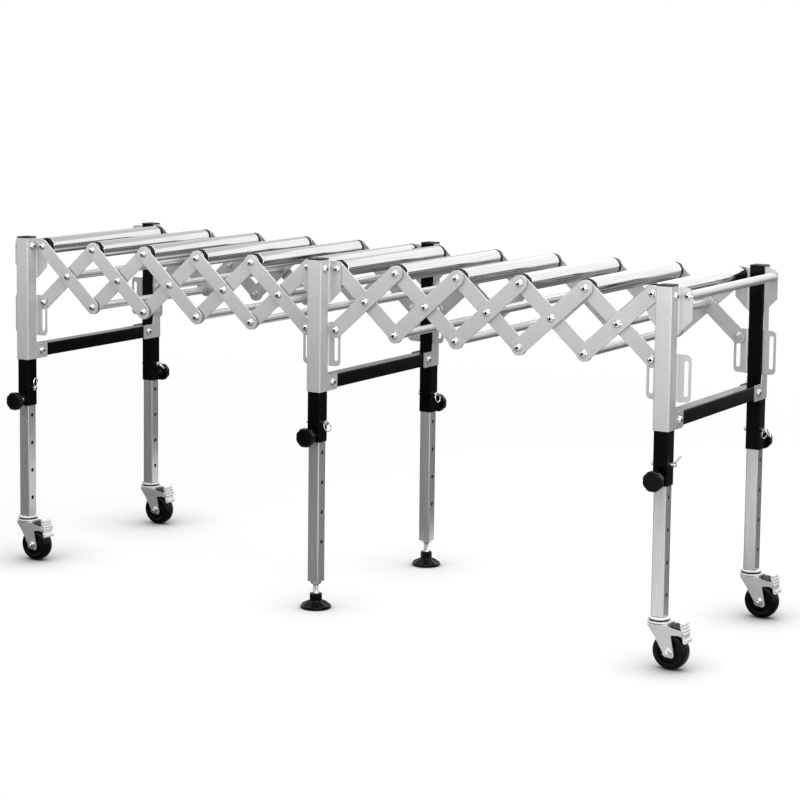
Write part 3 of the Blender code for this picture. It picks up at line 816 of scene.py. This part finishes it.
def slotted_panel():
    """The lower ear, in XY with y as height."""
    shape = oblong(FLANGE_X, EAR_X, SLOT_EAR_TOP, SLOT_EAR_BOTTOM, (1, 2), SLOT_EAR_ROUND)
    bmesh.ops.delete(shape, geom=shape.faces[:], context="FACES_ONLY")
    segments = 24
    turn = at(OFFSET, -FOLDED_DEPTH) @ Matrix.Rotation(math.pi / segments, 4, "Z")
    hole = bmesh.ops.create_circle(shape, segments=segments, radius=SLOT_HALF, matrix=turn)
    upper = [vert for vert in hole["verts"] if vert.co.y > -FOLDED_DEPTH]
    bmesh.ops.translate(shape, verts=upper, vec=(0, FOLDED_DEPTH - DEPTH, 0))
    bmesh.ops.triangle_fill(shape, edges=shape.edges[:], use_beauty=True, normal=(0, 0, 1))
    return shape


def bracket_panels():
    """Half of the far bracket as a sheet without thickness."""
    web = oblong(0, FLANGE_X, BRACKET_TOP, BRACKET_BOTTOM)
    ear = flat([(FLANGE_X, EAR_TOP), (EAR_X, EAR_TOP), (EAR_X, EAR_LOW), (FLANGE_X, EAR_END)], (1,), EAR_ROUND)
    levels = [BRACKET_TOP, EAR_TOP, EAR_END, SLOT_EAR_TOP, SLOT_EAR_BOTTOM, GRIP_TOP]
    edge = [(EAR_FACE, level) for level in levels]
    grip = [(GRIP_Y, GRIP_TOP), (GRIP_Y, BRACKET_BOTTOM)]
    flange = flat([(WEB_Y, BRACKET_TOP), *edge, *grip, (WEB_Y, BRACKET_BOTTOM)], (7, 8), GRIP_ROUND)
    side_on = at(FLANGE_X) @ turned(90, "Z") @ UPRIGHT
    upright = [placed(web, at(y=WEB_Y) @ UPRIGHT), placed(flange, side_on)]
    upright += [placed(panel, at(y=EAR_FACE) @ UPRIGHT) for panel in (ear, slotted_panel())]
    return joined(*upright)


BRACKET_PANELS = bracket_panels()
print("bracket panels with", len(BRACKET_PANELS.faces), "faces")

# %% Fold the sheet
FOLD_RADIUS = 0.0035
FOLD_MERGE = 1e-5


def folded(shape, axis, thickness, radius, outside):
    """Mirror half a sheet, round its folds and give it thickness away from the outside."""
    everything = shape.verts[:] + shape.edges[:] + shape.faces[:]
    bmesh.ops.mirror(shape, geom=everything, axis=axis, merge_dist=FOLD_MERGE)
    bmesh.ops.remove_doubles(shape, verts=shape.verts, dist=FOLD_MERGE)
    bmesh.ops.recalc_face_normals(shape, faces=shape.faces)
    outermost = max(shape.faces, key=lambda face: face.calc_center_median().dot(outside))
    if outermost.normal.dot(outside) < 0:
        bmesh.ops.reverse_faces(shape, faces=shape.faces)
    bevelled(shape, sharp_edges(shape), radius, 4)
    bmesh.ops.solidify(shape, geom=shape.faces[:], thickness=thickness)
    return shape


BRACKET = folded(BRACKET_PANELS, "X", SHEET, FOLD_RADIUS, Vector((0, 1, 0)))
print("bracket faces", len(BRACKET.faces))

# %% [markdown]
# ## Posts, caps and crossbars
#
# Under the bracket runs a black square tube, which shows below it and on its inner side. A tube has round
# corners, so a box without ends is bevelled along its uprights and given a wall. A plastic plug with a raised
# middle closes the top, and a flatter tube joins the two posts.

# %% Tube, plug and crossbar
SLEEVE_BOTTOM = -0.378
SLEEVE_TOP = BRACKET_TOP - 0.0005
POST_CORNER = 0.003
TUBE_WALL = 0.0015
PLUG_SIZE = POST_SIZE + 0.0010
PLUG_HEIGHT = 0.0028
CROSSBAR_LOW = -0.265
CROSSBAR_HIGH = -0.235
CROSSBAR_END = 0.2206
CROSSBAR_CORNER = 0.0025


def raised(shape, margin, depth):
    """Inset the top face, and raise or sink it."""
    shape.normal_update()
    top = max(shape.faces, key=lambda face: face.calc_center_median().z)
    bmesh.ops.inset_region(shape, faces=[top], thickness=margin, depth=depth)
    return shape


def crossbar():
    """A flat tube along Y between the posts."""
    lying = at(z=(CROSSBAR_LOW + CROSSBAR_HIGH) / 2) @ UPRIGHT
    height = CROSSBAR_HIGH - CROSSBAR_LOW
    return placed(tube(POST_SIZE, height, -CROSSBAR_END, CROSSBAR_END, TUBE_WALL, CROSSBAR_CORNER), lying)


POST = tube(POST_SIZE, POST_SIZE, SLEEVE_BOTTOM, SLEEVE_TOP, TUBE_WALL, POST_CORNER)
PLUG = raised(eased(box(PLUG_SIZE, PLUG_SIZE, 0, PLUG_HEIGHT), 0.0008), 0.0045, 0.0006)
CROSSBAR = crossbar()
print("post faces", len(POST.faces), "plug faces", len(PLUG.faces), "crossbar faces", len(CROSSBAR.faces))

# %% [markdown]
# ## Lock pins
#
# A pin through post and leg fixes the height. It has a small head on one side, and on the other a wire ring
# hangs from its end, at another angle on every post. A ring is a small circle spun round an axis outside it.

# %% Pin and ring
LOCK_Z = -0.336
PIN_HEAD = -POST_SIZE / 2
PIN_END = POST_SIZE / 2 + 0.0122


def wire_ring(radius, wire):
    """A ring of round wire in YZ that hangs from the origin."""
    shape = bmesh.new()
    section = bmesh.ops.create_circle(shape, segments=10, radius=wire, matrix=at(radius) @ UPRIGHT)
    edges = list({edge for vert in section["verts"] for edge in vert.link_edges})
    return placed(spun(shape, section["verts"] + edges, 40), at(z=-radius) @ ALONG_X)


def lock_pin():
    """A pin along X through the origin, with a groove near its +X end."""
    head = [(0, -0.009), (0.0045, -0.009), (0.0055, -0.008), (0.0055, -0.0015), (0.0048, -0.0005), (0.0038, -0.0005)]
    tail = [(0.0038, 0.0097), (0.0056, 0.0092), (0.0056, 0.0057), (0.0030, 0.0052), (0.0030, 0.0037)]
    tail += [(0.0040, 0.0030), (0.0036, 0.0004), (0, 0)]
    line = [(radius, PIN_HEAD + height) for radius, height in head]
    line += [(radius, PIN_END - height) for radius, height in tail]
    return placed(lathe(line, 20), ALONG_X)


LOCK_PIN = lock_pin()
RING = wire_ring(0.0105, 0.0012)
print("lock pin faces", len(LOCK_PIN.faces), "ring faces", len(RING.faces))

# %% [markdown]
# ## The leg frames
#
# The same bracket, post, plug, pin and bolts serve all six posts. The bracket is the same seen from either
# side, so half a turn makes the near one from the far one. Bolts across the flanges hold it to the post and
# to the crossbar.

# %% Rings at their angles
RING_PLACE = at(PIN_END - 0.0045, 0, 0.0025)
RING_TURNS = {
    ("left", "near"): [(15, 0, 165)], ("left", "far"): [(41, -45, 0)],
    ("middle", "near"): [(-10, -20, 0)], ("middle", "far"): [(0, -10, 0)],
    ("right", "near"): [(20, 40, 180)], ("right", "far"): [(-10, 10, 0), (15, -35, 0)],
}


def ringed_pin(turns):
    """A lock pin with a ring for each set of turns about Z, Y and X."""
    hung = [RING_PLACE @ (turned(z, "Z") @ turned(y, "Y") @ turned(x, "X")) for z, y, x in turns]
    return joined(LOCK_PIN.copy(), placed(RING, *hung))


print("rings", sum(len(turns) for turns in RING_TURNS.values()))

# %% Make the frames
GRIP_BOLT_Y = 0.2043
GRIP_BOLT_Z = -0.250
for name, x in FRAMES.items():
    body = f"{name}_leg_frame"
    centre = at(x, 0, LEVEL)
    facing = {"near": centre @ turned(180, "Z"), "far": centre}
    for side, way in SIDES.items():
        stand = at(x, way * POST_Y, LEVEL)
        piece(f"{name}_{side}_bracket", placed(BRACKET, facing[side]), COAT, body)
        piece(f"{name}_{side}_post", placed(POST, stand), BLACK_COAT, body)
        piece(f"{name}_{side}_plug", placed(PLUG, stand @ at(z=BRACKET_TOP)), PLASTIC, body)
        pin = ringed_pin(RING_TURNS[name, side])
        piece(f"{name}_{side}_lock_pin", placed(pin, stand @ at(z=LOCK_Z)), BOLT_ZINC, body)
        spots = [(way * POST_Y, 0), (way * GRIP_BOLT_Y, GRIP_BOLT_Z)]
        heads = [at(x + FLANGE_X, y, LEVEL + z) @ ALONG_X for y, z in spots]
        tails = [at(x - FLANGE_X, y, LEVEL + z) @ AGAINST_X for y, z in spots]
        bolts = joined(placed(BOLT, *heads), placed(NUT, *tails))
        piece(f"{name}_{side}_flange_bolts", bolts, BOLT_ZINC, body)
    piece(f"{name}_crossbar", placed(CROSSBAR, centre), BLACK_COAT, body)
print("frames", list(FRAMES))

# %% [markdown]
# ## Handle bars
#
# A tube between the outer ears of each end frame is the handle. Its ends are rounded over, and bolts through
# the ears hold it.

# %% Make the handle bars
HANDLE_RADIUS = 0.0095
HANDLE = bar(HANDLE_RADIUS, EAR_Y - 0.0004, 0.0022)
for name, way in SECTIONS.items():
    body = f"{name}_leg_frame"
    node = f"{name}_handle_bar"
    grip = Vector((FRAMES[name] + way * OFFSET, 0, LEVEL))
    piece(f"{name}_handle", placed(HANDLE, at(*grip)), COAT, body, node)
    piece(f"{name}_handle_bolts", on_both_sides(BOLT, EAR_FACE, OUTWARDS, grip), BOLT_ZINC, body, node)
print("handle bars", list(SECTIONS))

# %% [markdown]
# ## Sliding legs
#
# The inner legs are galvanised square tubes with a row of lock holes from side to side. The holes are round
# and go through a rounded tube, so drills are joined into one mesh and cut out with a single Boolean. A plug
# with a bore closes the foot and takes the stem of the caster or the levelling foot.

# %% Tube with holes
LEG_SIZE = 0.028
LEG_CORNER = 0.003
LEG_TOP = LEVEL - 0.258
LEG_BOTTOM = {"left": 0.105, "middle": 0.060, "right": 0.105}
LOCK_STEP = 0.066
LOCK_HOLES = [LEVEL + LOCK_Z - LOCK_STEP * index for index in range(5)]
LOCK_HOLE_RADIUS = 0.0046
STEM_BORE_RADIUS = 0.0074


def drill(radius, length):
    """A round cutter along Z, centred on the origin."""
    return lathe([(0, -length / 2), (radius, -length / 2), (radius, length / 2), (0, length / 2)], 32)


def leg(bottom):
    """A leg round the Z axis, with its lock holes and foot plug."""
    blank = tube(LEG_SIZE, LEG_SIZE, bottom, LEG_TOP, TUBE_WALL, LEG_CORNER)
    holes = placed(drill(LOCK_HOLE_RADIUS, 2 * LEG_SIZE), *(at(z=z) @ ALONG_X for z in LOCK_HOLES))
    inner = LEG_SIZE - 2 * TUBE_WALL - 0.0002
    low = at(z=bottom + 0.010)
    stop = placed(block(inner, inner, 0.012, 0.0005), low)
    bore = placed(drill(STEM_BORE_RADIUS, 0.030), low)
    return joined(drilled(blank, holes), drilled(stop, bore))


LEGS = {name: leg(bottom) for name, bottom in LEG_BOTTOM.items()}
print("legs with", len(LOCK_HOLES), "lock holes each")

# %% Make the legs
for name, x in FRAMES.items():
    for side, way in SIDES.items():
        body = f"{name}_{side}_leg"
        piece(f"{body}_tube", placed(LEGS[name], at(x, way * POST_Y)), GALVANISED, body)
print("legs", len(FRAMES) * len(SIDES))

# %% [markdown]
# ## Clamp knobs
#
# The knob's rim is scalloped for grip: every point of a circle is pulled in or out by a wave of eight lobes
# before the disc is extruded. Its face is inset and sunk a little. The collar behind it and the screw are spun,
# and the thread is a zigzag in the screw's line.

# %% Disc, collar and screw
KNOB_Z = LEVEL - 0.364
KNOB_BACK = 0.0220
KNOB_FACE = 0.0360
KNOB_RADIUS = 0.0213
LOBES = 8
LOBE_DEPTH = 0.0010
COLLAR_LOW = 0.0140
COLLAR_HIGH = KNOB_BACK + 0.0005


def scalloped_disc():
    """The knob's disc, standing on z = 0."""
    shape = bmesh.new()
    bmesh.ops.create_circle(shape, cap_ends=True, segments=96, radius=1)
    for vert in shape.verts:
        wave = 0.5 + 0.5 * math.cos(LOBES * math.atan2(vert.co.y, vert.co.x))
        vert.co *= KNOB_RADIUS - LOBE_DEPTH * wave ** 3
    return raised(slab(shape, KNOB_FACE - KNOB_BACK, 0.0022), 0.0022, -0.0007)


def thread(low, pitch, turns, core, crest):
    """The zigzag line of a thread, from its lowest core upwards."""
    heights = [low + pitch * index for index in range(turns)]
    return [point for height in heights for point in ((core, height), (crest, height + pitch / 2))]


def knob():
    """The black disc and its collar, standing on the post's face."""
    collar = [(0, COLLAR_LOW), (0.0085, COLLAR_LOW), (0.0092, COLLAR_LOW + 0.0008)]
    collar += [(0.0108, COLLAR_HIGH), (0, COLLAR_HIGH)]
    return joined(lathe(collar), placed(scalloped_disc(), at(z=KNOB_BACK)))


def knob_screw():
    """The bright screw and its nut, standing on the post's face."""
    line = [(0, -0.0010), *thread(-0.0010, 0.0012, 14, 0.0036, 0.0040), (0.0036, 0.0158), (0, 0.0158)]
    nut = placed(hexagon_block(0.0150, 0.0055, 0.0006), at(z=0.0002))
    return joined(lathe(line, 20), nut)


KNOB = knob()
KNOB_SCREW = knob_screw()
print("knob with", LOBES, "lobes and", len(KNOB.faces), "faces")

# %% Make the knobs
for name, x in FRAMES.items():
    for side, way in SIDES.items():
        body = f"{name}_{side}_knob"
        place = at(x, way * POST_FACE, KNOB_Z) @ OUTWARDS[side]
        piece(f"{body}_grip", placed(KNOB, place), MOULDED, body)
        piece(f"{body}_screw", placed(KNOB_SCREW, place), BOLT_ZINC, body)
print("knobs", len(FRAMES) * len(SIDES))

# %% [markdown]
# ## Caster forks
#
# The fork is pressed from one sheet: a crown under the swivel race, and a cheek folded down on each side that
# narrows to the wheel's axle and reaches out to the brake. It is folded like the bracket, as panels that share
# an edge. The race is two turned rings with a neck between them. A black ring in the neck is painted shade for
# the dark gap under the upper ring. A black brake shoe sits between the cheeks, above the wheel; its black also
# paints the shade in the brake's gap.

# %% Fork, with heights from the leg's end
FORK_Y = 0.0200
FORK_SHEET = 0.0025
FORK_FOLD = 0.0040
CHEEK_ROUND = 0.0035
CROWN_Z = -0.0118
CROWN_BACK = -0.0190
CROWN_FRONT = 0.0250


def cheek_panel():
    """The near cheek in XY, with y as height."""
    back = [(CROWN_BACK, CROWN_Z), (-0.0168, -0.0180), (-0.0016, -0.0380), (0.0172, -0.0690), (0.0200, -0.0732)]
    foot = [(0.0300, -0.0775), (0.0360, -0.0781), (0.0400, -0.0758), (0.0410, -0.0712), (0.0332, -0.0320)]
    arm = [(0.0520, -0.0300), (0.0550, -0.0335), (0.0592, -0.0300), (0.0586, -0.0235), (0.0540, -0.0205)]
    front = [(0.0330, -0.0165), (0.0270, -0.0150), (CROWN_FRONT, CROWN_Z)]
    return flat(back + foot + arm + front, (9, 11, 12, 13), CHEEK_ROUND)


def fork():
    """The pressed fork round the swivel axis."""
    cheek = placed(cheek_panel(), at(y=-FORK_Y) @ UPRIGHT)
    crown = placed(oblong(CROWN_BACK, CROWN_FRONT, -FORK_Y, 0), at(z=CROWN_Z))
    return folded(joined(cheek, crown), "Y", FORK_SHEET, FORK_FOLD, Vector((0, 0, 1)))


FORK = fork()
print("fork faces", len(FORK.faces))

# %% Race, painted shade ring and shoe
# The black ring in the race's neck is painted shade for the dark gap under the upper ring.
NECK_TOP = -0.0052
NECK_BOTTOM = -0.0086
SHADE_RING_RADIUS = 0.0214
NECK_RADIUS = 0.0160


def race():
    """Stem, upper ring, neck and lower ring."""
    line = [(0, 0.012), (0.0056, 0.012), (0.0056, -0.0012), (0.0208, -0.0012), (0.0224, -0.0018)]
    line += [(0.0229, -0.0032), (0.0224, -0.0047), (0.0212, NECK_TOP), (NECK_RADIUS, NECK_TOP)]
    line += [(NECK_RADIUS, NECK_BOTTOM), (0.0236, NECK_BOTTOM), (0.0250, -0.0093), (0.0254, -0.0104)]
    line += [(0.0246, -0.0118), (0.0160, -0.0124), (0, -0.0124)]
    return lathe(line, 56)


def shade_ring_and_shoe():
    """Painted shade: a black ring in the race's neck; and the brake shoe above the wheel, black partly for shade."""
    low = NECK_BOTTOM + 0.0001
    high = NECK_TOP - 0.0001
    bore = NECK_RADIUS + 0.0002
    bulge = [(SHADE_RING_RADIUS - 0.0006, low), (SHADE_RING_RADIUS, (low + high) / 2), (SHADE_RING_RADIUS - 0.0006, high)]
    shade_ring = lathe([(bore, low), *bulge, (bore, high)], 56, ring=True)
    shading_shoe = block(0.0190, 2 * FORK_Y - 0.0060, 0.0080, 0.0012)
    return joined(shade_ring, placed(shading_shoe, at(0.0400, 0, -0.0195) @ turned(14, "Y")))


RACE = race()
SHADE_RING_AND_SHOE = shade_ring_and_shoe()
print("race faces", len(RACE.faces), "seal and shoe faces", len(SHADE_RING_AND_SHOE.faces))

# %% [markdown]
# ## Brake pedals and wheels
#
# The pedal is a cast lever with ridges for the shoe at its upper end and a lip at its lower end. Its side view
# is drawn once and extruded across. The wheel is spun: round shoulders, a raised ring on each side and a hub.

# %% Pedal
PEDAL_TOP = Vector((0.0520, 0, -0.0062))
PEDAL_RUN = Vector((0.19, 0, -0.98)).normalized()
PEDAL_HALF = 0.015
PEDAL_RIDGES = (0.0055, 0.0120, 0.0185)


def pedal():
    """The ridged lever: drawn along its run, and extruded across it."""
    face = [(0.0, 0.0040)]
    for ridge in PEDAL_RIDGES:
        face += [(ridge - 0.0022, 0.0062), (ridge - 0.0006, 0.0062), (ridge, 0.0040), (ridge + 0.0016, 0.0040)]
    face += [(0.0225, 0.0060), (0.0245, 0.0058), (0.0252, 0.0032), (0.0338, 0.0032)]
    lip = [(0.0352, 0.0066), (0.0400, 0.0068), (0.0420, 0.0050), (0.0420, 0.0008)]
    back = [(0.0390, -0.0012), (0.0240, -0.0016), (0.0, -0.0012)]
    lever = slab(flat(face + lip + back), 2 * PEDAL_HALF, 0.0004)
    out = Vector((-PEDAL_RUN.z, 0, PEDAL_RUN.x))
    across = PEDAL_RUN.cross(out)
    turn = Matrix((PEDAL_RUN, out, across)).transposed().to_4x4()
    return placed(lever, at(*(PEDAL_TOP - across * PEDAL_HALF)) @ turn)


PEDAL = pedal()
print("pedal faces", len(PEDAL.faces))

# %% Axle bolt and wheel
AXLE_X = 0.027
AXLE_Z = -0.0675
PIN_RADIUS = 0.0038


def axle_bolt():
    """A hexagon head on a washer at each cheek, and the pin between them."""
    end = lathe([(0, WASHER), (PIN_RADIUS, WASHER), (PIN_RADIUS, 0.0084), (0.0030, 0.0092), (0, 0.0092)], 16)
    head = joined(washer(0.0045, 0.0095), placed(hexagon_block(0.0140, 0.0058, 0.0008), at(z=WASHER)), end)
    centre = Vector((AXLE_X, 0, AXLE_Z))
    pin = placed(bar(PIN_RADIUS, FORK_Y + WASHER, 0.0003), at(*centre))
    return joined(on_both_sides(head, FORK_Y, OUTWARDS, centre), pin)


def wheel():
    """A wheel round the Y axis."""
    hub = [(0.0043, 0.0150), (0.0086, 0.0150), (0.0096, 0.0140), (0.0112, 0.0112), (0.0150, 0.0104)]
    ring = [(0.0158, 0.0112), (0.0170, 0.0112), (0.0178, 0.0103), (0.0212, 0.0100), (0.0226, 0.0118)]
    shoulder = [(0.0238, 0.0140), (0.0262, 0.0149), (0.0296, 0.0150), (0.0328, 0.0142), (0.0352, 0.0122)]
    tread = [(0.0366, 0.0090), (0.0373, 0.0050), (0.03745, 0.0015)]
    return placed(lathe(both_halves(hub + ring + shoulder + tread), 72, ring=True), UPRIGHT)


AXLE_BOLT = axle_bolt()
CASTER_WHEEL = wheel()
print("axle bolt faces", len(AXLE_BOLT.faces), "wheel faces", len(CASTER_WHEEL.faces))

# %% Make the casters
for name in SECTIONS:
    for side, way in SIDES.items():
        body = f"{name}_{side}_caster_fork"
        place = at(FRAMES[name], way * POST_Y, LEG_BOTTOM[name])
        piece(f"{body}_sheet", placed(FORK, place), ZINC, body)
        piece(f"{body}_race", placed(RACE, place), PALE, body)
        # Painted shade: the black ring in the race's neck; the real brake shoe is black partly for shade too.
        piece(f"{body}_shade_ring_and_shoe", placed(SHADE_RING_AND_SHOE, place), PLASTIC, body)
        piece(f"{body}_pedal", placed(PEDAL, place), PALE, body)
        piece(f"{body}_axle", placed(AXLE_BOLT, place), BOLT_ZINC, body)
        body = f"{name}_{side}_caster_wheel"
        piece(f"{body}_tyre", placed(CASTER_WHEEL, place @ at(AXLE_X, 0, AXLE_Z)), WHEEL, body)
print("casters", len(SECTIONS) * len(SIDES))

# %% [markdown]
# ## Levelling feet
#
# The middle frame stands on two feet: a dished black base with eight ribs, a hub, and a threaded stem with a
# nut that goes up into the leg. Base and stem are spun, and the thread is a zigzag in the stem's line. One rib
# is a small eased block, tilted to the dish and repeated round it.

# %% Base and stem
RIBS = 8


def foot_base():
    """The ribbed dish and its hub, standing on z = 0."""
    rim = [(0, 0), (0.0312, 0), (0.0330, 0.0012), (0.0335, 0.0030), (0.0335, 0.0052), (0.0326, 0.0066)]
    dish = [(0.0305, 0.0074), (0.0150, 0.0146), (0.0138, 0.0160), (0.0135, 0.0175)]
    hub = [(0.0135, 0.0312), (0.0127, 0.0324), (0.0112, 0.0330), (0.0080, 0.0330), (0.0076, 0.0318), (0, 0.0318)]
    base = lathe(rim + dish + hub, 56)
    rib = placed(block(0.0165, 0.0022, 0.0030, 0.0006), at(0.0222, 0, 0.0115) @ turned(25, "Y"))
    return joined(base, placed(rib, *(turned(360 / RIBS * (index + 0.5), "Z") for index in range(RIBS))))


def foot_stem():
    """The threaded stem and its nut, from the hub up into the leg."""
    line = [(0, 0.0320), *thread(0.0322, 0.0016, 24, 0.0062, 0.0069), (0.0062, 0.0708), (0, 0.0712)]
    nut = placed(hexagon_block(0.0200, 0.0070, 0.0008), at(z=0.0535))
    return joined(lathe(line, 28), nut)


FOOT_BASE = foot_base()
FOOT_STEM = foot_stem()
print("foot with", RIBS, "ribs and", len(FOOT_BASE.faces), "faces")

# %% Make the feet
for side, way in SIDES.items():
    body = f"middle_{side}_foot"
    place = at(MIDDLE_X, way * POST_Y)
    piece(f"{body}_base", placed(FOOT_BASE, place), MOULDED, body)
    piece(f"{body}_stem", placed(FOOT_STEM, place), BOLT_ZINC, body)
print("feet", len(SIDES))
